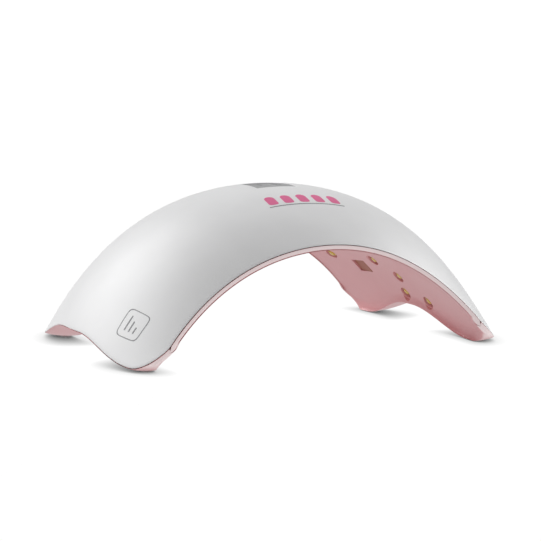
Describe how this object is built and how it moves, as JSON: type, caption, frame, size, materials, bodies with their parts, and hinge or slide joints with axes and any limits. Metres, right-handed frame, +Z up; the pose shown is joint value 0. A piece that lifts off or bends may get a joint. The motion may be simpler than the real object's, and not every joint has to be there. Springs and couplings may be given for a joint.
{
  "type": "uv led nail lamp",
  "caption": "Arch-shaped LED lamp for curing nail gel: white outer shell, pink inner shell on rounded feet, two timer keys on the crown and LEDs set inside the arch.",
  "frame": {"origin": "bottom centre, on the plane of the foot pads, midway between the feet", "axes": "+X along the arch, +Y to the back (the side of the power inlet), +Z up"},
  "size_m": [0.1872, 0.1198, 0.0687],
  "materials": {
    "white_shell": "pearl white, satin gloss",
    "pink_liner": "pale rose, soft satin",
    "grey_frame": "mid grey, satin",
    "grey_key": "mid grey, satin",
    "board_aluminium": "white-masked aluminium board",
    "led_base": "moulded white package",
    "led_phosphor": "yellow phosphor gel",
    "wire": "red insulation",
    "black_plastic": "black moulding",
    "capacitor_sleeve": "dark sleeve",
    "ivory_plastic": "ivory moulding",
    "circuit_board": "green solder mask",
    "ferrite": "ferrite block",
    "contact_metal": "plated contact",
    "screw_steel": "zinc-plated screws",
    "brown_window": "smoked infrared window",
    "pad_rubber": "soft silicone"
  },
  "bodies": {
    "root": {"outer_shell": "white_shell", "inner_shell": "pink_liner", "panel_frame": "grey_frame", "switch_30": "black_plastic", "switch_60": "black_plastic", "control_board": "circuit_board", "timer_chip": "black_plastic", "driver_transistors": "black_plastic", "power_inductor": "ferrite", "filter_capacitors": "capacitor_sleeve", "lead_sockets": "ivory_plastic", "dc_jack": "black_plastic", "jack_contact": "contact_metal", "jack_housing": "white_shell", "jack_leads": "wire", "led_leads_left": "wire", "led_leads_right": "wire", "led_board_centre": "board_aluminium", "led_board_left_shoulder": "board_aluminium", "led_board_right_shoulder": "board_aluminium", "led_board_left_leg": "board_aluminium", "led_board_right_leg": "board_aluminium", "led_board_left_corner": "board_aluminium", "led_board_right_corner": "board_aluminium", "led_bases_centre": "led_base", "led_bases_left_shoulder": "led_base", "led_bases_right_shoulder": "led_base", "led_bases_left_leg": "led_base", "led_bases_right_leg": "led_base", "led_bases_left_corner": "led_base", "led_bases_right_corner": "led_base", "led_domes_centre": "led_phosphor", "led_domes_left_shoulder": "led_phosphor", "led_domes_right_shoulder": "led_phosphor", "led_domes_left_leg": "led_phosphor", "led_domes_right_leg": "led_phosphor", "led_domes_left_corner": "led_phosphor", "led_domes_right_corner": "led_phosphor", "sensor_window": "brown_window", "sensor_eyes": "black_plastic", "board_screws": "screw_steel", "shell_screws": "screw_steel", "foot_pads": "pad_rubber"},
    "key_30": {"key_30": "grey_key", "switch_30_stem": "ivory_plastic"},
    "key_60": {"key_60": "grey_key", "switch_60_stem": "ivory_plastic"}
  },
  "joints": [
    {"name": "key_30_press", "type": "slide", "parent": "root", "child": "key_30", "axis": [0, 0, 1], "range_m": [-0.0004, 0], "stiffness_N_per_m": 1500, "springref_m": 0.0004},
    {"name": "key_60_press", "type": "slide", "parent": "root", "child": "key_60", "axis": [0, 0, 1], "range_m": [-0.0004, 0], "stiffness_N_per_m": 1500, "springref_m": 0.0004}
  ]
}
